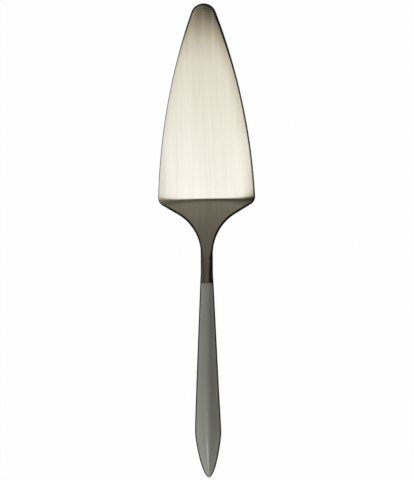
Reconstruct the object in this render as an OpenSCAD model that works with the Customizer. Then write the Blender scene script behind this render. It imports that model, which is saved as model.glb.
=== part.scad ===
// A cake server: a forged steel head whose tang is bonded into a moulded handle.
// Lengths are in millimetres. +Y points to the tip, +X to the right, +Z up.
// The blade lies flat on z = 0 and the origin is under the middle of the whole length.

/* [Blade] */
// Length from the bend line to the tip, seen from above
blade_len = 109.3; // [95:0.1:125]
// Width across the two rear corners
blade_w = 53.8; // [46:0.2:60]
// Thickness of the blade and of the shoulder's front edge
blade_t = 1.6; // [1.2:0.1:2]
// Radius of the tip, seen from above
tip_r = 7.2; // [5:0.1:10]
// Radius of the two long sides, seen from above
side_r = 340; // [250:5:500]
// Radius of the two rear corners, seen from above
corner_r = 4.9; // [3:0.1:8]
// Distance of the widest place in front of the bend line
corner_lead = 2; // [0.5:0.1:4]
// Thickness left at the tip
tip_t = 0.6; // [0.4:0.1:1]
// Length of the part that is ground thinner from above, toward the tip
grind_len = 42; // [25:1:60]
// Height of the rounded edges as a share of the blade's thickness
edge_round = 0.35; // [0.15:0.05:0.45]
// Width of the rounded edges along the sides, seen from above
edge_w = 0.8; // [0.5:0.1:1.5]
// Width of the rounded edges at the tip, seen from above
tip_edge_w = 1.6; // [1:0.1:4]

/* [Shoulder and neck] */
// Inside radius of the bend between the blade and the shoulder
bend_r = 4; // [1:0.2:5]
// Slope of the shoulder just behind the bend, in degrees
shoulder_slope = 28; // [22:1:34]
// Angle from the bend line to the shoulder's edges, seen from above, in degrees
shoulder_edge = 30.5; // [24:0.5:38]
// Radius that leads the shoulder's edges into the neck, seen from above
shoulder_r = 25.5; // [18:0.5:32]
// Distance from the bend line to the mouth of the handle, seen from above
neck_run = 46.2; // [42:0.1:60]
// Width of the neck at its narrowest
neck_w = 6.6; // [5.8:0.1:8]
// Thickness of the neck at the mouth of the handle
neck_t = 5.6; // [4.4:0.1:6.4]
// Widening of the neck on each side at the mouth of the handle
neck_flare = 0.3; // [0.1:0.05:0.6]
// Length of the widened end of the neck
flare_len = 7; // [3:0.5:10]
// Width of the flat strip that the facets leave on the neck
strip_w = 2; // [1.2:0.1:3]
// Height of the neck's facets as a share of half its thickness
facet_share = 0.56; // [0.4:0.02:0.9]
// Length over which the facets begin, where the shoulder's edges meet the neck
facet_len = 8; // [4:0.5:12]

/* [Handle] */
// Length of the handle from its mouth to its end, seen from above
handle_run = 104.2; // [90:0.1:125]
// Width of the handle at its widest
handle_w = 14.2; // [12:0.1:18]
// Thickness of the handle at its thickest
handle_t = 11.2; // [8:0.2:14]
// Share of the handle's length at which it is widest
widest_share = 0.77; // [0.65:0.005:0.8]
// Share of the front part that is rounded up to the widest place
belly_share = 0.08; // [0.05:0.01:0.4]
// Height of the handle's mouth over the neck, all round
mouth_lip = 0.1; // [0.05:0.05:0.4]
// Rounding of the mouth's outer edge
mouth_r = 0.3; // [0.15:0.05:0.45]
// Slope of the handle at its mouth, in degrees
mouth_slope = 17; // [13:1:20]
// Slope of the handle at its end, in degrees
end_slope = -9; // [-12:1:11]
// Length of the straight front part, seen from above
straight_run = 45; // [40:1:60]
// Shape of the section at the mouth, where 2 is an ellipse and more is boxier
mouth_power = 2; // [1.9:0.1:3]
// Softness of the ridge at the widest place, as a share of the half width
ridge_soft = 0.25; // [0.1:0.05:0.5]
// Softness of the side edges at the widest place, as a share of the half width
edge_soft = 0.06; // [0.03:0.01:0.2]

/* [Tang and bond] */
// Length of the tang inside the handle
tang_len = 42; // [30:1:46]
// Width of the tang
tang_w = 4.2; // [3.4:0.1:4.6]
// Thickness of the tang
tang_t = 2.4; // [2:0.1:2.8]
// Chamfer at the end of the tang
tang_chamfer = 1; // [0.4:0.1:1.5]
// Diameter of the two keying holes through the tang
key_d = 1.8; // [1:0.1:2.2]
// Bond around the tang on each side
bond_gap = 0.25; // [0.15:0.05:0.35]
// Bond behind the end of the tang
bond_end = 1; // [0.5:0.1:2]

/* [Hidden] */
// Counts of points and steps that make the curves smooth
corner_points = 7;
section_points = 32;
tip_steps = 8;
side_steps = 18;
corner_steps = 11;
fillet_steps = 14;
neck_steps = 10;
mouth_steps = 3;
front_steps = 20;
tail_steps = 16;
key_sides = 24;

// Side view: the bend, the arch of the neck, the straight part and the arch of the tail
bend_mid_r = bend_r + blade_t / 2;
bend_reach = bend_mid_r * tan(shoulder_slope / 2);
bend_end = bend_mid_r * sin(shoulder_slope) - bend_reach;
bend_height = blade_t / 2 + bend_mid_r * (1 - cos(shoulder_slope));
arch_r = (neck_run - bend_end) / (sin(shoulder_slope) - sin(mouth_slope));
mouth_height = bend_height + arch_r * (cos(mouth_slope) - cos(shoulder_slope));
tail_start = neck_run + straight_run;
tail_height = mouth_height + straight_run * tan(mouth_slope);
full_run = neck_run + handle_run;
tail_r = (full_run - tail_start) / (sin(mouth_slope) - sin(end_slope));
middle = (full_run - blade_len) / 2;

// Slope of the centre line at a distance behind the bend line
function slope_at(run) =
    run < -bend_reach ? 0
    : run < bend_end ? asin((run + bend_reach) / bend_mid_r)
    : run < neck_run ? asin(sin(shoulder_slope) - (run - bend_end) / arch_r)
    : run < tail_start ? mouth_slope
    : asin(sin(mouth_slope) - (run - tail_start) / tail_r);

// Height of the centre line at a distance behind the bend line
function height_at(run) =
    run < -bend_reach ? blade_t / 2
    : run < bend_end ? blade_t / 2 + bend_mid_r * (1 - cos(slope_at(run)))
    : run < neck_run ? bend_height + arch_r * (cos(slope_at(run)) - cos(shoulder_slope))
    : run < tail_start ? mouth_height + (run - neck_run) * tan(mouth_slope)
    : tail_height + tail_r * (cos(slope_at(run)) - cos(mouth_slope));

// Soft step from 0 to 1
function ease(v) = v <= 0 ? 0 : v >= 1 ? 1 : v * v * (3 - 2 * v);

function mix(a, b, v) = a + (b - a) * v;

// Points of an arc without its first point
function arc(centre, r, from, to, steps) =
    [for (i = [1:steps]) let (a = mix(from, to, i / steps)) centre + r * [cos(a), sin(a)]];

// Plan view of the head's right side: tip, long side, corner, shoulder edge, fillet, neck
side_start = [blade_w / 2, corner_lead];
tip_centre = [0, blade_len - tip_r];
chord = tip_centre - side_start;
chord_len = norm(chord);
chord_foot = (chord_len * chord_len + side_r * side_r - pow(side_r - tip_r, 2)) / (2 * chord_len);
chord_off = sqrt(side_r * side_r - chord_foot * chord_foot);
side_centre = side_start + (chord_foot * chord + chord_off * [-chord[1], chord[0]]) / chord_len;
tip_angle = atan2(tip_centre[1] - side_centre[1], tip_centre[0] - side_centre[0]);
side_angle = atan2(side_start[1] - side_centre[1], side_start[0] - side_centre[0]);
corner_centre = side_start - corner_r * [cos(side_angle), sin(side_angle)];
corner_angle = shoulder_edge - 90;
corner_end = corner_centre + corner_r * [cos(corner_angle), sin(corner_angle)];
fillet_x = neck_w / 2 + shoulder_r;
fillet_drop = (shoulder_r - (fillet_x - corner_end[0]) * sin(shoulder_edge)) / cos(shoulder_edge);
fillet_centre = [fillet_x, corner_end[1] - fillet_drop];
fillet_start = fillet_centre + shoulder_r * [-sin(shoulder_edge), cos(shoulder_edge)];
neck_start = -fillet_centre[1];
// The rings start just beside the tip, which is closed by a point
first_tip_angle = 84;
plan = concat(
    [tip_centre + tip_r * [cos(first_tip_angle), sin(first_tip_angle)]],
    arc(tip_centre, tip_r, first_tip_angle, tip_angle, tip_steps),
    arc(side_centre, side_r, tip_angle, side_angle, side_steps),
    arc(corner_centre, corner_r, side_angle, corner_angle, corner_steps),
    [(corner_end + fillet_start) / 2],
    arc(fillet_centre, shoulder_r, 90 + shoulder_edge, 180, fillet_steps),
    [for (i = [1:neck_steps]) [neck_w / 2, -mix(neck_start, neck_run, i / neck_steps)]]
);

// Puts section points (right, up) square to the centre line at a distance behind the bend line
function placed(section, run) =
    [for (p = section) [
        p[0],
        middle - run + p[1] * sin(slope_at(run)),
        height_at(run) + p[1] * cos(slope_at(run))
    ]];

// Number with its sign kept and its size raised to a power
function signed_pow(v, power) = sign(v) * pow(abs(v), power);

// Block section with soft corners, from low under the centre line to high over it;
// the corners are round at a power of 2 and flat facets at a power of 1
function block(half, low, high, round_x, round_z, power) =
    [for (c = [0:3], i = [0:corner_points - 1])
        let (
            a = 90 * (c + i / (corner_points - 1)),
            side = c == 0 || c == 3 ? 1 : -1,
            level = c < 2 ? high - round_z : round_z - low
        )
        [
            side * (half - round_x) + round_x * signed_pow(cos(a), 2 / power),
            level + round_z * signed_pow(sin(a), 2 / power)
        ]];

// Height of a diamond with a soft ridge and soft side edges, at a share of its half width
diamond_reach = norm([1, ridge_soft]) + edge_soft;
function diamond(u) =
    sqrt(max(pow(diamond_reach - norm([u, ridge_soft]), 2) - edge_soft * edge_soft, 0));

// How the section's points gather at the ridge and at the side edges
ridge_gather = 1.4;

// Handle section between the mouth's shape at share 0 and the diamond at share 1
function lens(half_w, half_t, share) =
    [for (i = [0:section_points - 1])
        let (
            a = 360 * i / section_points,
            u = signed_pow(cos(a), ridge_gather),
            v = (a > 180 ? -1 : 1) * diamond(u) / diamond(0)
        )
        [
            half_w * mix(signed_pow(cos(a), 2 / mouth_power), u, share),
            half_t * mix(signed_pow(sin(a), 2 / mouth_power), v, share)
        ]];

// How late the grind steepens toward the tip
grind_power = 3.5;
// Corner shape of the blade's edges and of the neck's facets
edge_power = 1.6;
facet_power = 1.15;

function head_ring(p) =
    let (
        run = -p[1],
        half = p[0] + neck_flare * ease((run - neck_run + flare_len) / flare_len),
        thick = mix(blade_t, neck_t, ease(run / neck_run)),
        ground = max((grind_len - blade_len - run) / grind_len, 0),
        cut = (blade_t - tip_t) * pow(ground, grind_power),
        edge = min(mix(edge_w, tip_edge_w, ground), p[0]),
        facet = min(max((run - neck_start) / facet_len + 0.5, 0), 1),
        round_x = mix(edge, half - strip_w / 2, facet),
        round_z = mix(edge_round * (blade_t - cut), facet_share * thick / 2, facet),
        power = mix(edge_power, facet_power, facet)
    )
    placed(block(half, thick / 2, thick / 2 - cut, round_x, round_z, power), run);

// Front of the handle: a straight taper that rounds off at the widest place
belly_slope = 2 / (2 - belly_share);
function swell(v) =
    v < 1 - belly_share ? belly_slope * v : 1 - belly_slope * (1 - v) * (1 - v) / (2 * belly_share);

mouth_half_w = neck_w / 2 + neck_flare + mouth_lip;
mouth_half_t = neck_t / 2 + mouth_lip;
widest_run = widest_share * handle_run;
// Fullness of the tail in plan view and in side view
plan_power = 1.25;
plan_root = 0.55;
side_power = 2;
side_root = 0.5;
// How soon the section turns from the mouth's shape into the belly's
section_rise = 0.5;

// Handle section at a distance behind its mouth, with a rounding cut off all round
function handle_ring(run, cut) =
    let (
        front = min(run / widest_run, 1),
        back = max((run - widest_run) / (handle_run - widest_run), 0),
        half_w = mix(mouth_half_w, handle_w / 2, swell(front)) * pow(1 - pow(back, plan_power), plan_root),
        half_t = mix(mouth_half_t, handle_t / 2, swell(front)) * pow(1 - pow(back, side_power), side_root)
    )
    placed(lens(half_w - cut, half_t - cut, pow(front, section_rise)), neck_run + run);

handle_rings = concat(
    [for (i = [0:mouth_steps - 1])
        let (a = 90 * i / mouth_steps)
        handle_ring(mouth_r * (1 - cos(a)), mouth_r * (1 - sin(a)))],
    [for (i = [0:front_steps]) handle_ring(mix(mouth_r, widest_run, i / front_steps), 0)],
    [for (i = [1:tail_steps - 1])
        handle_ring(mix(widest_run, handle_run, sin(90 * i / tail_steps)), 0)]
);

// Closed skin over a row of rings, with a closing point at each end
module skin(rings, first, last) {
    n = len(rings[0]);
    m = len(rings);
    faces = concat(
        [for (i = [0:n - 1]) [0, 1 + i, 1 + (i + 1) % n]],
        [for (k = [0:m - 2], i = [0:n - 1])
            let (a = 1 + k * n + i, b = 1 + k * n + (i + 1) % n)
            [a, a + n, b]],
        [for (k = [0:m - 2], i = [0:n - 1])
            let (a = 1 + k * n + i, b = 1 + k * n + (i + 1) % n)
            [b, a + n, b + n]],
        [for (i = [0:n - 1]) [m * n + 1, 1 + (m - 1) * n + (i + 1) % n, 1 + (m - 1) * n + i]]
    );
    polyhedron(points = concat([first], [for (r = rings) each r], [last]), faces = faces);
}

// Puts a child at the mouth of the handle, with -Y pointing into the handle
module at_mouth() {
    translate([0, middle - neck_run, mouth_height])
        rotate([-mouth_slope, 0, 0])
            children();
}

// Tang with a chamfered end and two keying holes; it starts inside the neck
neck_bite = 3;
key_shares = [0.4, 0.75];
module tang() {
    at_mouth()
        difference() {
            translate([0, 0, -tang_t / 2])
                linear_extrude(tang_t)
                    polygon([
                        [-tang_w / 2, neck_bite],
                        [-tang_w / 2, tang_chamfer - tang_len],
                        [tang_chamfer - tang_w / 2, -tang_len],
                        [tang_w / 2 - tang_chamfer, -tang_len],
                        [tang_w / 2, tang_chamfer - tang_len],
                        [tang_w / 2, neck_bite]
                    ]);
            for (share = key_shares)
                translate([0, -share * tang_len, -tang_t])
                    cylinder(d = key_d, h = 2 * tang_t, $fn = key_sides);
        }
}

// Socket space in the handle, lengthened out of the mouth by over
mouth_over = 1;
module socket(over) {
    depth = tang_len + bond_end;
    width = tang_w + 2 * bond_gap;
    height = tang_t + 2 * bond_gap;
    at_mouth()
        translate([-width / 2, -depth, -height / 2])
            cube([width, depth + over, height]);
}

module blade_head() {
    color([0.78, 0.77, 0.73])
        union() {
            skin(
                [for (p = plan) head_ring(p)],
                [0, middle + blade_len, tip_t / 2],
                [0, middle - neck_run, mouth_height]
            );
            tang();
        }
}

module handle() {
    color([0.46, 0.47, 0.44])
        difference() {
            skin(
                handle_rings,
                [0, middle - neck_run, mouth_height],
                [0, middle - full_run, height_at(full_run)]
            );
            socket(mouth_over);
        }
}

module tang_bond() {
    color([0.8, 0.72, 0.5])
        difference() {
            socket(0);
            tang();
        }
}

blade_head();
handle();
tang_bond();
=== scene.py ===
# %% [markdown]
# # A cake server, dressed over its imported frame
# The real object has two visible parts: a steel head, cut and pressed from one piece, and a
# moulded resin handle that is bonded onto the head's tang. The frame brings them as plain
# solids, in metres, with the tip toward +Y and the blade flat on the ground. Their box is
# noted first, because the finished model has to keep that size. Their box is noted first,
# and the finished model's box is printed beside it at the end.

# %% Load the frame
from math import asin, atan2, copysign, cos, hypot, radians, sin, sqrt, tan

import bmesh
import bpy
from mathutils import Matrix, Vector


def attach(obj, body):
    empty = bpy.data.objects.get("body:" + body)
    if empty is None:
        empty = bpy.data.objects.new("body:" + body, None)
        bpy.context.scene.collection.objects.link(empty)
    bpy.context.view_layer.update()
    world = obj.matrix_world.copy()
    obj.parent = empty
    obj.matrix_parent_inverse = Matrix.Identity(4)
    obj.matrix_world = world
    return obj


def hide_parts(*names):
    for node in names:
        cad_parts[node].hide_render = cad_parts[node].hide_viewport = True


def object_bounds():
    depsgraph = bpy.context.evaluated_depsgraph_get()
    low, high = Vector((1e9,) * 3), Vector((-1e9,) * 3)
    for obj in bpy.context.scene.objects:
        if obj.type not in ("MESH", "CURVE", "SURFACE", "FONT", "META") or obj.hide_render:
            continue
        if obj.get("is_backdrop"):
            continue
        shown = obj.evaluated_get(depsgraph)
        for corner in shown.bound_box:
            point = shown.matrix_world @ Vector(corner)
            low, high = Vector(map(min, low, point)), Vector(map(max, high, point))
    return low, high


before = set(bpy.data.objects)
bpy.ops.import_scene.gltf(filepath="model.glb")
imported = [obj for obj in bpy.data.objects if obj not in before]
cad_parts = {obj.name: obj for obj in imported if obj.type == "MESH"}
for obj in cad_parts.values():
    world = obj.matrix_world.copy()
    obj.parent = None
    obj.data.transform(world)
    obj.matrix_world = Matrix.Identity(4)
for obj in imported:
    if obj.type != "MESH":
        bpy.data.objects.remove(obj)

cad_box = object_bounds()
print("CAD box in metres:", [[round(v, 4) for v in corner] for corner in cad_box])

# %% [markdown]
# ## The centre line, seen from the side
# Both parts follow one line: flat under the blade, up through a tight bend, over the arch of
# the shoulder and neck, straight into the handle, and level again with a slight dip at the end.
# Arcs that meet with the same slope give a line without kinks, so the line is kept as a slope
# and a height for each distance behind the bend. Lengths are in millimetres until a piece is done.
# Sizes that the CAD has too are in small letters, and this script's own values in capitals.

# %% Join the arcs of the centre line
blade_len, blade_t = 109.3, 1.6
bend_r, shoulder_slope, mouth_slope, end_slope = 4, radians(28), radians(17), radians(-9)
neck_run, straight_run, handle_run = 46.2, 45, 104.2

bend_mid_r = bend_r + blade_t / 2
bend_reach = bend_mid_r * tan(shoulder_slope / 2)
bend_end = bend_mid_r * sin(shoulder_slope) - bend_reach
bend_height = blade_t / 2 + bend_mid_r * (1 - cos(shoulder_slope))
arch_r = (neck_run - bend_end) / (sin(shoulder_slope) - sin(mouth_slope))
mouth_height = bend_height + arch_r * (cos(mouth_slope) - cos(shoulder_slope))
tail_start = neck_run + straight_run
tail_height = mouth_height + straight_run * tan(mouth_slope)
full_run = neck_run + handle_run
tail_r = (full_run - tail_start) / (sin(mouth_slope) - sin(end_slope))
middle = (full_run - blade_len) / 2
print("The handle's mouth is", round(mouth_height, 1), "mm above the ground")

# %% Follow the centre line
def centre_line(run):
    """Slope and height of the centre line at a distance behind the bend."""
    if run < -bend_reach:
        return 0, blade_t / 2
    if run < bend_end:
        slope = asin((run + bend_reach) / bend_mid_r)
        return slope, blade_t / 2 + bend_mid_r * (1 - cos(slope))
    if run < neck_run:
        slope = asin(sin(shoulder_slope) - (run - bend_end) / arch_r)
        return slope, bend_height + arch_r * (cos(slope) - cos(shoulder_slope))
    if run < tail_start:
        return mouth_slope, mouth_height + (run - neck_run) * tan(mouth_slope)
    slope = asin(sin(mouth_slope) - (run - tail_start) / tail_r)
    return slope, tail_height + tail_r * (cos(slope) - cos(mouth_slope))


def on_line(right, run, up):
    """Place of a point that stands square to the centre line."""
    slope, height = centre_line(run)
    return Vector((right, middle - run + up * sin(slope), height + up * cos(slope)))


print("The handle ends", round(centre_line(full_run)[1], 1), "mm above the ground")

# %% [markdown]
# ## The blank's outline
# A press cuts the head from sheet: a small round tip, two long sides that bulge a little, two
# rounded rear corners, and edges that run in a wide curve into the narrow neck. A drawing
# office builds such an outline from arcs that touch, so their centres are worked out first.
# Only the right half is drawn, and the mirror makes the left half later.

# %% Find the arcs' centres
blade_w, tip_r, side_r, corner_r, corner_lead = 53.8, 7.2, 340, 4.9, 2
shoulder_edge, shoulder_r, neck_w = radians(30.5), 25.5, 6.6

side_start = Vector((blade_w / 2, corner_lead))
tip_centre = Vector((0, blade_len - tip_r))
chord = tip_centre - side_start
chord_left = Vector((-chord.y, chord.x))
chord_foot = (chord.length_squared + side_r ** 2 - (side_r - tip_r) ** 2) / (2 * chord.length)
chord_off = sqrt(side_r ** 2 - chord_foot ** 2)
side_centre = side_start + (chord_foot * chord + chord_off * chord_left) / chord.length
tip_angle = atan2(*(tip_centre - side_centre).yx)
side_angle = atan2(*(side_start - side_centre).yx)
corner_centre = side_start - corner_r * Vector((cos(side_angle), sin(side_angle)))
corner_angle = shoulder_edge - radians(90)
corner_end = corner_centre + corner_r * Vector((cos(corner_angle), sin(corner_angle)))
fillet_x = neck_w / 2 + shoulder_r
fillet_drop = (shoulder_r - (fillet_x - corner_end.x) * sin(shoulder_edge)) / cos(shoulder_edge)
fillet_centre = Vector((fillet_x, corner_end.y - fillet_drop))
fillet_start = fillet_centre + shoulder_r * Vector((-sin(shoulder_edge), cos(shoulder_edge)))
neck_start = -fillet_centre.y
print("The neck's straight edge starts", round(neck_start, 1), "mm behind the bend")

# %% [markdown]
# ## Draw with Spin
# Spin usually turns a profile into a round body. Here it turns one point: it carries the last
# point of the outline round an arc's centre and leaves edges behind it. Straight stretches
# are extruded from the last point, step by step.

# %% Draw half of the outline
TIP_STEPS, SIDE_STEPS, CORNER_STEPS = 16, 48, 20
SHOULDER_STEPS, FILLET_STEPS, NECK_STEPS = 4, 30, 20


def draw_arc(drawing, last, centre, angle, steps):
    """Carries the outline's last point round a centre."""
    made = bmesh.ops.spin(drawing, geom=[last], cent=centre.to_3d(), axis=(0, 0, 1),
                          angle=angle, steps=steps)
    return made["geom_last"][0]


def draw_line(drawing, last, end, steps):
    """Carries the outline's last point straight on to an end."""
    step = (end.to_3d() - last.co) / steps
    for _ in range(steps):
        last = bmesh.ops.extrude_vert_indiv(drawing, verts=[last])["verts"][0]
        bmesh.ops.translate(drawing, verts=[last], vec=step)
    return last


head = bmesh.new()
edge = head.verts.layers.float.new("edge")
pen = head.verts.new((0, blade_len, 0))
pen = draw_arc(head, pen, tip_centre, tip_angle - radians(90), TIP_STEPS)
pen = draw_arc(head, pen, side_centre, side_angle - tip_angle, SIDE_STEPS)
pen = draw_arc(head, pen, corner_centre, corner_angle - side_angle, CORNER_STEPS)
pen = draw_line(head, pen, fillet_start, SHOULDER_STEPS)
pen = draw_arc(head, pen, fillet_centre, radians(90) - shoulder_edge, FILLET_STEPS)
pen = draw_line(head, pen, Vector((neck_w / 2, -neck_run)), NECK_STEPS)
outline = list(head.verts)
print("Half of the outline has", len(outline), "points and ends at", pen.co[:2])

# %% [markdown]
# ## Thickness and the ground tip
# The blade keeps the sheet's thickness, is ground thinner toward the tip, and swells to the
# forged neck. Two small formulas say this: a soft step that rises from the bend to the neck,
# and a power curve that takes metal off the top over the ground length.

# %% Set the thickness along the head
tip_t, grind_len, grind_power, neck_t = 0.6, 42, 3.5, 5.6


def ease(v):
    """Soft step from 0 to 1."""
    v = min(max(v, 0), 1)
    return v * v * (3 - 2 * v)


def mix(a, b, v):
    """Value on the way from a to b, by a share of that way."""
    return a + (b - a) * v


def ground_share(run):
    """How far the grinding has got: 0 behind the ground length, 1 at the tip."""
    return max((grind_len - blade_len - run) / grind_len, 0)


def face_heights(run):
    """How far the lower and the upper face lie from the centre line."""
    thick = mix(blade_t, neck_t, ease(run / neck_run))
    return thick / 2, thick / 2 - (blade_t - tip_t) * ground_share(run) ** grind_power


thick_at = [round(sum(face_heights(run)), 2) for run in (-blade_len, 0, neck_run)]
print("Thickness at the tip, the bend and the neck in mm:", thick_at)

# %% [markdown]
# ## Rolled face and painted edge shade
# Polishing has rolled the blade's face down a little along its sides, most at the rear corners.
# It is less than half a millimetre, but a shiny face shows it. Along the cut edge a nearly
# black band of painted shade goes into the colour, so each point will note its distance from
# the outline. That note is scaled, because the painted edge shade is finer along the blade's
# sides and under the neck, and bolder at the tip.

# %% Roll the face and scale the painted edge shade
ROLL_W, ROLL_SHARE, REAR_W, REAR_SHARE = 6, 0.08, 14, 0.15
REAR_RUN, REAR_RISE, ROLL_END, ROLL_FADE = -40, 34, 4, 8
# Widths of the nearly black band of painted edge shade along the outline
EDGE_SHADE_FINER, EDGE_SHADE_TIP, EDGE_SHADE_RISE, EDGE_SHADE_REAR = 1.9, 10, 40, 8
EDGE_SHADE_BOLD, BOLD_RUN, EDGE_SHADE_UNDER, UNDER_RISE = 0.3, 26, 3, 10


def rolled(inset, run):
    """How far the upper face has dropped at a distance from the outline."""
    side = ROLL_SHARE * max(1 - inset / ROLL_W, 0) ** 2
    corner = REAR_SHARE * ease((run - REAR_RUN) / REAR_RISE) * max(1 - inset / REAR_W, 0) ** 2
    return (side + corner) * sum(face_heights(run)) * ease((ROLL_END - run) / ROLL_FADE)


def edge_shade_scale(run, side):
    """How many times finer the painted edge shade is here than on top of the neck."""
    from_tip = blade_len + run
    finer = EDGE_SHADE_FINER * ease((from_tip - EDGE_SHADE_TIP) / EDGE_SHADE_RISE) * ease(-run / EDGE_SHADE_REAR)
    if side < 0:
        finer += EDGE_SHADE_UNDER * ease(run / UNDER_RISE)
    return 1 + finer - EDGE_SHADE_BOLD * ease(1 - from_tip / BOLD_RUN)


print("The face drops", round(rolled(0, -ROLL_END), 2), "mm at the rear corners")

# %% [markdown]
# ## Rounded edges
# The blade's edges are only broken, but the neck's corners round off so far that a narrow flat
# tongue is left on top. A bevel has one width for all its edges. Here the rounding grows along
# the outline, so every outline point gets its own width, height and shape of rounding.

# %% Work out each edge point's section
edge_round, edge_w, tip_edge_w, edge_power = 0.35, 0.8, 1.6, 1.6
neck_flare, flare_len = 0.3, 7
strip_w, facet_share, facet_len, facet_power = 2, 0.56, 8, 1.15


def edge_section(index):
    """Edge point, its outward direction, and the rounding's width, height and shape."""
    x, y, _ = outline[index].co
    before, after = outline[max(index - 1, 0)].co, outline[min(index + 1, len(outline) - 1)].co
    out = Vector((before.y - after.y, after.x - before.x)).normalized()
    if index == 0:
        out = Vector((0, 1))
    if index == len(outline) - 1:
        out = Vector((1, 0))
    run = -y
    half = x + neck_flare * ease((run - neck_run + flare_len) / flare_len)
    low, high = face_heights(run)
    facet = min(max((run - neck_start) / facet_len + 0.5, 0), 1)
    round_x = mix(mix(edge_w, tip_edge_w, ground_share(run)), half - strip_w / 2, facet)
    round_z = mix(edge_round * (blade_t - low + high), facet_share * low, facet)
    power = mix(edge_power, facet_power, facet)
    return Vector((half, y)), out, round_x, round_z, power


sections = [edge_section(i) for i in range(len(outline))]
print("The rounding is", [round(s[2], 2) for s in sections[::24]], "mm wide from tip to neck")

# %% [markdown]
# ## From the outline to a blank
# The outline is extruded in small steps round the edge and then over the face to the middle,
# once upward and once downward. Extruding keeps the points in order, so each new chain can be
# moved to its place by the sections. The steps over the face are narrow near the edge, where
# the face rolls down, and wide in the flat middle.

# %% Extrude the outline round the edge and over the faces
ROUND_STEPS = 10
FACE_SHARES = (0.012, 0.03, 0.06, 0.1, 0.15, 0.21, 0.3, 0.45, 0.7, 1)


def extrude_chain(mesh, chain):
    """Extrudes a chain of points and gives the new chain in the same order."""
    edges = [mesh.edges.get(pair) for pair in zip(chain, chain[1:])]
    made = set(bmesh.ops.extrude_edge_only(mesh, edges=edges)["geom"])
    return [next(e.other_vert(v) for e in v.link_edges if e.other_vert(v) in made) for v in chain]


def roll_edge(side):
    """Carries the outline up (side 1) or down (side -1) round the edge and to the middle."""
    chain = outline
    for step in range(ROUND_STEPS + 1):
        turn = radians(90 * step / ROUND_STEPS)
        chain = extrude_chain(head, chain)
        for vert, (point, out, round_x, round_z, power) in zip(chain, sections):
            inset = round_x * (1 - max(cos(turn), 0) ** (2 / power))
            inner = point - out * inset
            low, high = face_heights(-inner.y)
            drop = round_z * (1 - sin(turn) ** (2 / power))
            top = high - drop - rolled(inset, -inner.y)
            vert.co = (max(inner.x, 0), inner.y, top if side > 0 else drop - low)
            # The noted distance, scaled, sets how wide the painted edge shade is
            vert[edge] = inset * edge_shade_scale(-inner.y, side)
    face_edge = [v.co.copy() for v in chain]
    for share in FACE_SHARES:
        chain = extrude_chain(head, chain)
        for vert, place, (_, out, round_x, *_) in zip(chain, face_edge, sections):
            inset = round_x + place.x * share * out.x
            lift = rolled(round_x, -place.y) - rolled(inset, -place.y) if side > 0 else 0
            vert.co = (place.x * (1 - share), place.y, place.z + lift)
            vert[edge] = inset * edge_shade_scale(-place.y, side)


for vert, (point, *_) in zip(outline, sections):
    low, high = face_heights(-point.y)
    vert.co = (point.x, point.y, (high - rolled(0, -point.y) - low) / 2)
    vert[edge] = 0
roll_edge(1)
roll_edge(-1)
print("Half of the blank has", len(head.faces), "faces")

# %% [markdown]
# ## Mirror
# The head is the same on both sides, so Mirror completes the blank. The points on the middle
# line then lie double and are merged, and faces without any area go with them. Only the neck's
# rear end stays open, for the tang.

# %% Mirror the blank
MERGE = 1e-4

bmesh.ops.mirror(head, geom=head.verts[:] + head.edges[:] + head.faces[:],
                 matrix=Matrix.Identity(4), merge_dist=MERGE, axis="X")
bmesh.ops.remove_doubles(head, verts=head.verts, dist=MERGE)
bmesh.ops.dissolve_degenerate(head, edges=head.edges, dist=MERGE)
rear = [e for e in head.edges if e.is_boundary]
print("The neck's rear end is a ring of", len(rear), "edges")

# %% [markdown]
# ## The tang
# The tang sits hidden in the handle: a flat bar with a chamfered end and two holes that the
# adhesive keys through. A fill between its outline and two circles leaves the holes open,
# Solidify gives it its thickness, and a bridge joins it to the neck's open rear end. The blank
# is laid out by level distances and the tang will rise, so the bar is shortened to match.

# %% Draw the tang
tang_len, tang_w, tang_t, tang_chamfer, key_d = 42, 4.2, 2.4, 1, 1.8
key_shares, key_sides = (0.4, 0.75), 24

blank_verts = set(head.verts)
corners = [(tang_w / 2, 0), (tang_w / 2, tang_chamfer - tang_len),
           (tang_w / 2 - tang_chamfer, -tang_len)]
corners += [(-x, y) for x, y in reversed(corners)]
bar = [head.verts.new((x, y, tang_t / 2)) for x, y in corners]
bar_edges = [head.edges.new(pair) for pair in zip(bar, bar[1:] + bar[:1])]
for share in key_shares:
    key = bmesh.ops.create_circle(head, segments=key_sides, radius=key_d / 2)["verts"]
    bmesh.ops.translate(head, verts=key, vec=(0, -share * tang_len, tang_t / 2))
    bar_edges += [head.edges.get(pair) for pair in zip(key, key[1:] + key[:1])]
filled = bmesh.ops.triangle_fill(head, use_beauty=True, edges=bar_edges)["geom"]
bar_top = [g for g in filled if isinstance(g, bmesh.types.BMFace)]
bmesh.ops.solidify(head, geom=bar_top, thickness=tang_t)
bar = [v for v in head.verts if v not in blank_verts]
bar_heights = [v.co.z for v in bar]
print("The tang is", round(max(bar_heights) - min(bar_heights), 2), "mm thick")

# %% Bridge the tang to the neck
# So far from a cut edge, in millimetres, no painted edge shade is left and the finish is plain
# steel
BARE_STEEL = 9

root = next(f for v in bar for f in v.link_faces if all(abs(p.co.y) < MERGE for p in f.verts))
root_edges = root.edges[:]
bmesh.ops.delete(head, geom=[root], context="FACES_ONLY")
for vert in bar:
    vert[edge] = BARE_STEEL
bmesh.ops.scale(head, verts=bar, vec=(1, cos(mouth_slope), 1))
bmesh.ops.translate(head, verts=bar, vec=(0, -neck_run, 0))
bmesh.ops.bridge_loops(head, edges=rear + root_edges)
bmesh.ops.recalc_face_normals(head, faces=head.faces)
print("Open edges left on the head:", sum(e.is_boundary for e in head.edges))

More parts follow.
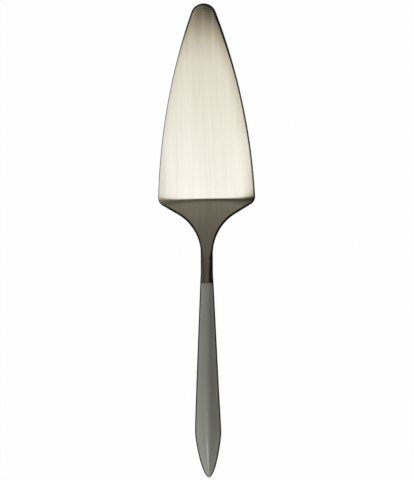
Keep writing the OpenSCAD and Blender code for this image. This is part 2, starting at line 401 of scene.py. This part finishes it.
# %% [markdown]
# ## Press the blank
# The flat blank goes into the press: every point keeps its distance along the blank, and is
# set square to the centre line at that distance. Bending after shaping keeps the thickness
# even, as pressed sheet does. The die let the bend's two ends come out softer and a little
# later than its middle. The press does that too, by taking the mean of a few nearby places.

# %% Bend the blank
SOFT_REACH, SOFT_FROM, SOFT_RISE, SOFT_LATE, SOFT_STEPS = 2.6, 8, 18, 0.4, 4


def pressed(right, run, up):
    """Place of a point after the press, whose bend is softer and later toward the corners."""
    soft = SOFT_REACH * ease((abs(right) - SOFT_FROM) / SOFT_RISE)
    late = SOFT_LATE * soft
    steps = range(-SOFT_STEPS, SOFT_STEPS + 1)
    near = [on_line(right, run - late + soft * i / SOFT_STEPS, up) for i in steps]
    return sum(near, Vector()) / len(near) - Vector((0, late, 0))


for vert in head.verts:
    vert.co = pressed(vert.co.x, -vert.co.y, vert.co.z)
print("The head is", round(max(v.co.z for v in head.verts), 1), "mm high after the press")

# %% [markdown]
# ## From a mesh to a piece
# A finished mesh is scaled to metres and becomes an object that rides on the frame's body and
# stands for its CAD node. Shading is smooth, except where faces meet at a sharp angle.

# %% Make the head a piece
MM = 0.001
SHARP = radians(40)


def make_piece(mesh, name, node):
    """Turns a finished mesh in millimetres into a piece that stands for a CAD node."""
    bmesh.ops.scale(mesh, vec=(MM, MM, MM), verts=mesh.verts)
    data = bpy.data.meshes.new(name)
    mesh.to_mesh(data)
    mesh.free()
    data.shade_smooth()
    data.set_sharp_from_angle(angle=SHARP)
    piece = bpy.data.objects.new(name, data)
    bpy.context.collection.objects.link(piece)
    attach(piece, "root")
    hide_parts(node)
    return piece


steel_head = make_piece(head, "steel_head", "blade_head")
print("steel_head has", len(steel_head.data.polygons), "faces")

# %% [markdown]
# ## The handle's sections
# The handle is moulded: a slim mouth that fits the neck, a straight taper to a broad belly
# near the end, and a blunt rounded tail. Its section changes from nearly an ellipse at the
# mouth to a diamond with a soft ridge at the belly. A formula for the section at any place
# is shorter than drawing each one, and it can be asked for as many rings as are needed.

# %% Shape the handle's sections
handle_w, handle_t, widest_share, belly_share = 14.2, 11.2, 0.77, 0.08
mouth_lip, ridge_soft, edge_soft = 0.1, 0.25, 0.06
plan_power, plan_root, section_rise, ridge_gather = 1.25, 0.55, 0.5, 1.4
RING = 72

turns = [radians(360 * i / RING) for i in range(RING)]
mouth_half_w = neck_w / 2 + neck_flare + mouth_lip
mouth_half_t = neck_t / 2 + mouth_lip
widest_run = widest_share * handle_run
belly_slope = 2 / (2 - belly_share)


def swell(v):
    """Straight taper that rounds off at the widest place."""
    if v < 1 - belly_share:
        return belly_slope * v
    return 1 - belly_slope * (1 - v) ** 2 / (2 * belly_share)


def signed_power(value, power):
    """Power of a number's size, with the number's own sign."""
    return copysign(abs(value) ** power, value)


def diamond(u):
    """Height of a diamond with a soft ridge and soft side edges, at a share of its half width."""
    reach = hypot(1, ridge_soft) + edge_soft
    return sqrt(max((reach - hypot(u, ridge_soft)) ** 2 - edge_soft ** 2, 0))


def lens(half_w, half_t, share, run):
    """Ring of points between an ellipse at share 0 and the soft diamond at share 1."""
    ring = []
    for a in turns:
        u = signed_power(cos(a), ridge_gather)
        v = copysign(diamond(u) / diamond(0), sin(a))
        right, up = half_w * mix(cos(a), u, share), half_t * mix(sin(a), v, share)
        ring.append(on_line(right, neck_run + run, up))
    return ring


def handle_section(run, cut=0):
    """The handle's ring at a distance behind its mouth, made smaller all round by a cut."""
    front = min(run / widest_run, 1)
    back = min(max((run - widest_run) / (handle_run - widest_run), 0), 1)
    half_w = mix(mouth_half_w, handle_w / 2, swell(front)) * (1 - back ** plan_power) ** plan_root
    half_t = mix(mouth_half_t, handle_t / 2, swell(front)) * sqrt(1 - back ** 2)
    return lens(half_w - cut, half_t - cut, front ** section_rise, run)


print("The handle is widest", round(widest_run, 1), "mm behind its mouth")

# %% [markdown]
# ## The handle as one skin
# One ring is extruded from section to section. It starts at the bottom of the blind socket,
# comes out at the mouth, and runs along the outside to the tail, where it is drawn together
# to a point. So the inside is there too, and the handle is one closed skin. Each point notes
# how far it lies in from the sides, because a band of painted shade runs along them.

# %% Place the rings from the socket to the tail
bond_gap, bond_end, mouth_r = 0.25, 1, 0.3
SOCKET_POWER = 9
MOUTH_STEPS, TAPER_STEPS, TAIL_STEPS, TAIL_END = 5, 44, 30, 0.9995

socket_depth = (tang_len + bond_end) * cos(mouth_slope)
socket = [((tang_w / 2 + bond_gap) * signed_power(cos(a), 2 / SOCKET_POWER),
           (tang_t / 2 + bond_gap) * signed_power(sin(a), 2 / SOCKET_POWER)) for a in turns]
socket_floor, socket_mouth = [[on_line(x, neck_run + depth, z) for x, z in socket]
                              for depth in (socket_depth, 0)]
mouth_turns = [radians(90 * i / MOUTH_STEPS) for i in range(MOUTH_STEPS)]
mouth = [handle_section(mouth_r * (1 - cos(a)), mouth_r * (1 - sin(a))) for a in mouth_turns]
taper_runs = [mix(mouth_r, widest_run, i / TAPER_STEPS) for i in range(TAPER_STEPS + 1)]
taper = [handle_section(run) for run in taper_runs]
tail_turns = [radians(90 * TAIL_END * i / TAIL_STEPS) for i in range(1, TAIL_STEPS + 1)]
tail = [handle_section(mix(widest_run, handle_run, sin(a))) for a in tail_turns]
print("The handle's skin has", 2 + len(mouth + taper + tail), "rings of", RING, "points")

# %% Extrude the handle from ring to ring
# Painted shade along the handle's sides is this many times narrower on the lower half
SIDE_SHADE_UNDER = 4

grip = bmesh.new()
edge = grip.verts.layers.float.new("edge")
ring = bmesh.ops.create_circle(grip, segments=RING, radius=1)["verts"]
for vert, place in zip(ring, socket_floor):
    vert.co = place
floor_ring = ring
for section in [socket_mouth] + mouth + taper + tail:
    ring = extrude_chain(grip, ring + ring[:1])[:-1]
    # Where the outline turns in at the tail, the distance is taken square to it
    step = section[0] - ring[0].co
    square = abs(step.y) / step.xy.length if step.x < 0 else 1
    for vert, place, turn in zip(ring, section, turns):
        finer = 1 if sin(turn) >= 0 else SIDE_SHADE_UNDER
        vert.co = place
        # This distance sets how wide the band of painted shade along the sides is
        vert[edge] = square * finer * (section[0].x - abs(place.x))
bmesh.ops.contextual_create(grip, geom=floor_ring)
bmesh.ops.pointmerge(grip, verts=ring, merge_co=on_line(0, full_run, 0))
bmesh.ops.recalc_face_normals(grip, faces=grip.faces)
print("Open edges left on the handle:", sum(e.is_boundary for e in grip.edges))
resin_handle = make_piece(grip, "resin_handle", "handle")
print("resin_handle has", len(resin_handle.data.polygons), "faces")

# %% [markdown]
# ## A way to write finishes
# A finish is a small formula: noise, masks and colours that end in a shader. Wiring it node
# by node hides the formula, so one class wraps a socket: arithmetic on it adds Math nodes,
# and its node method adds any other node, with its settings first and its sockets after.

# %% Wrap a shader socket
class Value:
    """One shader socket that takes part in expressions."""

    def __init__(self, tree, socket=None):
        self.tree, self.socket = tree, socket

    def node(self, kind, settings=None, sockets=None, out=0):
        """Adds a node with its settings and sockets, and gives one of its outputs."""
        made = self.tree.nodes.new(kind)
        for name, setting in (settings or {}).items():
            setattr(made, name, setting)
        for name, value in (sockets or {}).items():
            if isinstance(value, Value):
                self.tree.links.new(value.socket, made.inputs[name])
            else:
                made.inputs[name].default_value = value
        return Value(self.tree, made.outputs[out]) if out is not None else None

    def math(self, operation, first, second):
        """Adds a Math node."""
        return self.node("ShaderNodeMath", {"operation": operation}, {0: first, 1: second})

    def __add__(self, other):
        return self.math("ADD", self, other)

    def __radd__(self, other):
        return self.math("ADD", other, self)

    def __sub__(self, other):
        return self.math("SUBTRACT", self, other)

    def __rsub__(self, other):
        return self.math("SUBTRACT", other, self)

    def __mul__(self, other):
        return self.math("MULTIPLY", self, other)

    def __rmul__(self, other):
        return self.math("MULTIPLY", other, self)

    def ramp(self, start, end, low=0.0, high=1.0):
        """Soft change from low to high as this value goes from start to end."""
        return self.node("ShaderNodeMapRange", {"interpolation_type": "SMOOTHSTEP"},
                         {"Value": self, "From Min": start, "From Max": end,
                          "To Min": low, "To Max": high})

    def blend(self, first, second):
        """Colour between two colours, by this value."""
        return self.node("ShaderNodeMix", {"data_type": "RGBA"},
                         {"Factor": self, 6: first, 7: second}, out=2)


print("Value adds nodes for + - * and has:", "node, math, ramp, blend")

# %% [markdown]
# ## Start and end of a finish
# Steel, resin and bond start as an empty material and end in the same way: a principled
# shader, and over it a plain dark one where a mask says so, which is painted shade on the
# steel's cut edge and the handle's sides. Noise gets its own number of cells on each axis, so
# that one helper gives both long brush lines and an even grain.

# %% Define the finish helpers
BUMP_DEPTH = 0.1 * MM


def start_finish(name):
    """New material, and a bench on which to put its nodes."""
    finish = bpy.data.materials.new(name)
    finish.use_nodes = True
    finish.node_tree.nodes.clear()
    return finish, Value(finish.node_tree)


def end_finish(bench, sockets, painted_shade=0.0, painted_shade_colour=(0, 0, 0, 1)):
    """Ends a finish in a shader, covered by a plain colour of painted shade where the mask is 1.
    """
    shader = bench.node("ShaderNodeBsdfPrincipled", {}, sockets)
    # Painted shade: a plain diffuse colour laid over the shader where the mask is 1
    flat = bench.node("ShaderNodeBsdfDiffuse", {}, {"Color": painted_shade_colour})
    shader = bench.node("ShaderNodeMixShader", {}, {0: painted_shade, 1: shader, 2: flat})
    bench.node("ShaderNodeOutputMaterial", {}, {"Surface": shader}, out=None)


def noise(place, cells, detail=2.0):
    """Noise with its own number of cells per metre on each axis."""
    stretched = place.node("ShaderNodeVectorMath", {"operation": "MULTIPLY"}, {0: place, 1: cells})
    return place.node("ShaderNodeTexNoise", {},
                      {"Vector": stretched, "Scale": 1.0, "Detail": detail})


def bumped(height, strength):
    """Normal of a surface that follows a height."""
    return height.node("ShaderNodeBump", {}, {"Strength": strength, "Distance": BUMP_DEPTH,
                                              "Height": height}, out="Normal")


print("A bump is at most", BUMP_DEPTH, "m deep")

# %% [markdown]
# ## Brushed steel
# The blade is brushed along its length: fine lines, each a few centimetres long, over bands
# that the belt left and a still slower sheen. Noise that is squeezed across the blade and
# stretched along it gives all three. Together they make the tone. Lines and bands also go into
# the roughness and a very small bump, so they catch light as scratches do, and smudges from
# handling make parts a little rougher. The neck is polished smoother than the blade. Where the
# noted distance from the cut edge is small, a plain, nearly black colour of painted shade lies
# over the steel, for the dark outline of its edge.

# %% Mix the brushed steel
LINE_CELLS, BAND_CELLS, SHEEN_CELLS = (1700, 30, 40), (420, 12, 14), (90, 9, 14)
SMUDGE_CELLS = (70, 45, 70)
STEEL_DEEP, STEEL_PALE = (0.785, 0.757, 0.682, 1), (0.945, 0.914, 0.838, 1)
# Painted shade: a nearly black colour over the cut edge, for the edge's dark outline
EDGE_SHADE_COLOUR, EDGE_SHADE_FROM, EDGE_SHADE_FULL = (0.012, 0.0115, 0.01, 1), 0.8, 0.5
NECK_FROM, NECK_FULL = 0.004, -0.012

steel, bench = start_finish("brushed_steel")
place = bench.node("ShaderNodeTexCoord", out="Object")
lines, bands, sheen = [noise(place, cells).ramp(0.25, 0.75)
                       for cells in (LINE_CELLS, BAND_CELLS, SHEEN_CELLS)]
smudge = noise(place, SMUDGE_CELLS)
inset = bench.node("ShaderNodeAttribute", {"attribute_name": "edge"}, out="Fac")
along = bench.node("ShaderNodeSeparateXYZ", {}, {"Vector": place}, out="Y")
neck = along.ramp(NECK_FROM, NECK_FULL)
tone = 0.28 * lines + 0.37 * bands + 0.35 * sheen
# Over the cut edge the steel is covered by the painted shade
end_finish(bench, {
    "Base Color": tone.blend(STEEL_DEEP, STEEL_PALE),
    "Metallic": 1.0,
    "Roughness": 0.125 + 0.03 * lines + 0.015 * bands + 0.04 * smudge - 0.03 * neck,
    "Normal": bumped(lines + bands, 0.03),
}, painted_shade=inset.ramp(EDGE_SHADE_FROM, EDGE_SHADE_FULL), painted_shade_colour=EDGE_SHADE_COLOUR)
steel_head.data.materials.append(steel)
print("brushed_steel has", len(steel.node_tree.nodes), "nodes")

# %% [markdown]
# ## Satin resin
# The handle is moulded in one grey, slightly green resin with a satin skin. A mould leaves a
# fine grain, and handling leaves parts a little smoother than others. A slow noise moves the
# tone and the roughness, and a fine one gives the grain as a bump that only softens the shine.
# Along the sides, a nearly black band of painted shade lies over the resin, for the handle's
# dark outline where it turns away from the light; it is narrower on the lower half.

# %% Mix the satin resin
MOTTLE_CELLS, GRAIN_CELLS = (90, 40, 90), (2600, 2600, 2600)
RESIN_DEEP, RESIN_PALE = (0.184, 0.187, 0.159, 1), (0.24, 0.244, 0.209, 1)
# Painted shade: a nearly black band along the handle's sides, for its dark outline
SIDE_SHADE_COLOUR, SIDE_SHADE_FROM, SIDE_SHADE_FULL = (0.032, 0.032, 0.028, 1), 0.9, 0.55

resin, bench = start_finish("satin_resin")
place = bench.node("ShaderNodeTexCoord", out="Object")
mottle = noise(place, MOTTLE_CELLS, detail=3.0)
grain = noise(place, GRAIN_CELLS)
inset = bench.node("ShaderNodeAttribute", {"attribute_name": "edge"}, out="Fac")
# Along the sides the resin is covered by the painted shade
end_finish(bench, {
    "Base Color": mottle.blend(RESIN_DEEP, RESIN_PALE),
    "Roughness": 0.17 + 0.06 * mottle + 0.04 * grain,
    "Specular IOR Level": 0.42,
    "Normal": bumped(grain, 0.08),
}, painted_shade=inset.ramp(SIDE_SHADE_FROM, SIDE_SHADE_FULL), painted_shade_colour=SIDE_SHADE_COLOUR)
resin_handle.data.materials.append(resin)
print("satin_resin has", len(resin.node_tree.nodes), "nodes")

# %% [markdown]
# ## The bond inside
# The tang is held by cured adhesive. It is closed in by the handle and nobody sees it, but
# the part may be taken apart on screen, so the CAD piece keeps its shape and gets a finish:
# amber, a little glossy, with the cloudy depth and small bubbles of cast resin.

# %% Mix the cured bond
CLOUD_CELLS, BUBBLE_CELLS = (260, 260, 260), 1400.0
BOND_DEEP, BOND_PALE = (0.5, 0.36, 0.14, 1), (0.68, 0.54, 0.28, 1)

bond, bench = start_finish("cured_bond")
place = bench.node("ShaderNodeTexCoord", out="Object")
cloud = noise(place, CLOUD_CELLS, detail=4.0)
bubbles = bench.node("ShaderNodeTexVoronoi", {}, {"Vector": place, "Scale": BUBBLE_CELLS},
                     out="Distance")
end_finish(bench, {
    "Base Color": cloud.blend(BOND_DEEP, BOND_PALE),
    "Roughness": 0.25 + 0.2 * cloud,
    "Normal": bumped(bubbles.ramp(0.0, 0.3), 0.2),
})
for bond_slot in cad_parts["tang_bond"].material_slots:
    bond_slot.material = bond
print("cured_bond has", len(bond.node_tree.nodes), "nodes")

# %% [markdown]
# ## White ground
# A product like this is photographed on a white sweep: a floor that curves up into a wall, so
# no horizon shows. A line is drawn from the middle outward and up, and a full spin turns it
# into the sweep. Recalculated normals of such a bowl point out and down, so its faces are
# turned round to look at the object.

# %% Turn the sweep
FLOOR_R, SWEEP_R, WALL_TOP, FLOOR_Z = 3.6, 0.4, 0.5, -0.0002
FLOOR_STEPS, CURVE_STEPS, SPIN_STEPS = 6, 10, 64

sweep = bmesh.new()
pen = draw_line(sweep, sweep.verts.new((0, 0, 0)), Vector((FLOOR_R, 0)), FLOOR_STEPS)
pen = bmesh.ops.spin(sweep, geom=[pen], cent=(FLOOR_R, 0, SWEEP_R), axis=(0, -1, 0),
                     angle=radians(90), steps=CURVE_STEPS)["geom_last"][0]
draw_line(sweep, pen, Vector((FLOOR_R + SWEEP_R, 0, WALL_TOP)), 1)
bmesh.ops.spin(sweep, geom=sweep.verts[:] + sweep.edges[:], cent=(0, 0, 0), axis=(0, 0, 1),
               angle=radians(360), steps=SPIN_STEPS, use_merge=True)
bmesh.ops.remove_doubles(sweep, verts=sweep.verts, dist=MM * MERGE)
bmesh.ops.translate(sweep, verts=sweep.verts, vec=(0, 0, FLOOR_Z))
bmesh.ops.recalc_face_normals(sweep, faces=sweep.faces)
bmesh.ops.reverse_faces(sweep, faces=sweep.faces)
data = bpy.data.meshes.new("white_sweep")
sweep.to_mesh(data)
sweep.free()
data.shade_smooth()
ground = bpy.data.objects.new("white_sweep", data)
bpy.context.collection.objects.link(ground)
ground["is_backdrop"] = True
print("The sweep is", round(2 * (FLOOR_R + SWEEP_R), 1), "m across")

# %% [markdown]
# ## The paper on it
# The paper itself is a mid grey, so it throws little light up at the object. For the camera,
# for reflections and for light through glass it is lifted almost to a glow of 1, which is
# white. The rest of it keeps a faint shadow.

# %% Paint the paper
PAPER_GREY, PAPER_WHITE, LIFT = (0.25, 0.25, 0.25, 1), (1, 1, 1, 1), 0.99
RAYS = ("Is Camera Ray", "Is Glossy Ray", "Is Transmission Ray")

white, bench = start_finish("white_paper")
camera_ray, glossy_ray, clear_ray = [bench.node("ShaderNodeLightPath", out=ray) for ray in RAYS]
seen = camera_ray + glossy_ray + clear_ray
paper = bench.node("ShaderNodeBsdfDiffuse", {}, {"Color": PAPER_GREY})
glow = bench.node("ShaderNodeEmission", {}, {"Color": PAPER_WHITE, "Strength": 1.0})
shown = bench.node("ShaderNodeMixShader", {}, {0: LIFT * seen, 1: paper, 2: glow})
bench.node("ShaderNodeOutputMaterial", {}, {"Surface": shown}, out=None)
ground.data.materials.append(white)
print("white_paper has", len(white.node_tree.nodes), "nodes")

# %% [markdown]
# ## Soft studio light
# Polished steel shows its room, so the room is made as a mirror sees it: a sky that depends on
# the direction alone. All its changes are soft, so no hard edge of a lamp shows on the steel.
# East, north and up are the three parts of a direction, each from -1 to 1, with the tip to the
# north. Every ramp below fades from one such direction to another.

# %% Read the direction
world = bpy.data.worlds.new("soft_room")
bpy.context.scene.world = world
world.use_nodes = True
world.node_tree.nodes.clear()
bench = Value(world.node_tree)
way = bench.node("ShaderNodeTexCoord", out="Generated")
east, north, up = [bench.node("ShaderNodeSeparateXYZ", {}, {"Vector": way}, out=axis)
                   for axis in "XYZ"]
print("The direction's three parts take", len(world.node_tree.nodes), "nodes")

# %% [markdown]
# ## Lamps overhead and behind
# On the photograph the flat blade is bright, so a large soft light hangs overhead and toward
# the handle's end. The handle's left slope and its ridge are brighter than its right slope, so
# a lamp stands high behind the handle's end: broad on the left, with a narrow strip in the
# middle. It fades toward the ground, or the blade would glare when seen from the tip's side.

# %% Hang the lamps
OVERHEAD, BEHIND, STRIP, LOW_LOSS = 1.35, 4.0, 1.7, 0.5

lit = (north + 0.3 * east).ramp(0.215, -0.045)
low = up.ramp(0.6, 0.4)
strip = east.ramp(0.12, 0.0) * east.ramp(-0.22, -0.1)
broad = east.ramp(-0.1, -0.35, 0.05, 1.0) * east.ramp(-0.85, -0.65, 0.2, 1.0)
behind = north.ramp(-0.08, -0.28) * (1 - low) * (broad + STRIP * strip)
dim = 0.5 * east.ramp(-0.04, -0.18)
dim = dim + 0.18 * east.ramp(-0.04, -0.065) * north.ramp(0.04, 0.01)
sides = east.ramp(0.29, 0.06, 0.04, 1.0) * east.ramp(-0.92, -0.75, 0.45, 1.0)
overhead = (OVERHEAD - dim + BEHIND * behind) * (1 - LOW_LOSS * low)
print("With the lamps the room has", len(world.node_tree.nodes), "nodes")

# %% [markdown]
# ## The dim rest of the room
# The tip, the bend and the neck face away from the lamps and are dark, so the room in front of
# the tip is dim, and it brightens in steps only far forward. A little warm light comes from
# the left, and a faint neutral one from the right, so that no side of the steel goes black.

# %% Light the rest and switch the room on
FRONT_LEVEL, WEST_LEVEL, FAR_WEST_LEVEL, RIGHT_LEVEL = 0.015, 0.22, 0.07, 0.12
FRONT_GLOWS = ((0.065, 0.5, 0.58), (0.035, 0.64, 0.74), (0.37, 0.825, 0.925))
WARM_SIDE, WARM_FRONT, NEUTRAL = (1, 0.88, 0.58, 1), (1, 0.92, 0.74, 1), (1, 1, 1, 1)

front = FRONT_LEVEL
for strength, start, full in FRONT_GLOWS:
    front = front + strength * north.ramp(start, full)
front = front * east.ramp(0.7, 0.92, 1.0, 0.1)
west = WEST_LEVEL * east.ramp(-0.035, -0.11) * north.ramp(0.65, 0.5)
west = west * east.ramp(-0.5, -0.3, 0.15, 1.0) + FAR_WEST_LEVEL * east.ramp(-0.88, -0.96)
right_side = east.ramp(0.4, 0.7) * north.ramp(0.2, 0.0)
level = lit * overhead * sides + (1 - lit) * (front + west) + RIGHT_LEVEL * right_side
warm = north.ramp(0.2, 0.4).blend(WARM_SIDE, WARM_FRONT)
tint = (lit + right_side).ramp(0.2, 0.95).blend(warm, NEUTRAL)
sky = bench.node("ShaderNodeBackground", {}, {"Color": tint, "Strength": level})
bench.node("ShaderNodeOutputWorld", {}, {"Surface": sky}, out=None)
print("soft_room has", len(world.node_tree.nodes), "nodes")

# %% [markdown]
# ## The camera
# The photograph was taken from almost straight above, from far away: the blade's and the
# handle's outlines fit a camera 1.5 m up, leaning 2 degrees to the right and turned by one
# degree. A long lens keeps that frame with no shift.

# %% Hang the camera
AIM, DISTANCE = Vector((-0.00026, -0.00142, 0)), 1.5
LEAN, ROLL = radians(2.092), radians(-0.995)
SENSOR_MM, LENS_MM = 36, 202.8

back = Vector((sin(LEAN), 0, cos(LEAN)))
right = Vector((0, 1, 0)).cross(back).normalized()
ahead = back.cross(right)
axes = Matrix((cos(ROLL) * right + sin(ROLL) * ahead, cos(ROLL) * ahead - sin(ROLL) * right, back))
camera_data = bpy.data.cameras.new("studio_camera")
camera_data.sensor_width = SENSOR_MM
camera_data.lens = LENS_MM
camera = bpy.data.objects.new("studio_camera", camera_data)
camera.matrix_world = Matrix.Translation(AIM + back * DISTANCE) @ axes.transposed().to_4x4()
bpy.context.collection.objects.link(camera)
bpy.context.scene.camera = camera
bpy.context.scene.view_settings.view_transform = "Standard"
print("The camera hangs at", [round(v, 3) for v in camera.location])

# %% [markdown]
# ## Measure
# The CAD's box and the finished model's box are measured and printed side by side.

# %% Print the sizes and finish
boxes = {"cad": cad_box, "visual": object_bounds()}
boxes = {name: [[float(v) for v in corner] for corner in box] for name, box in boxes.items()}
print("Boxes in metres:", boxes)
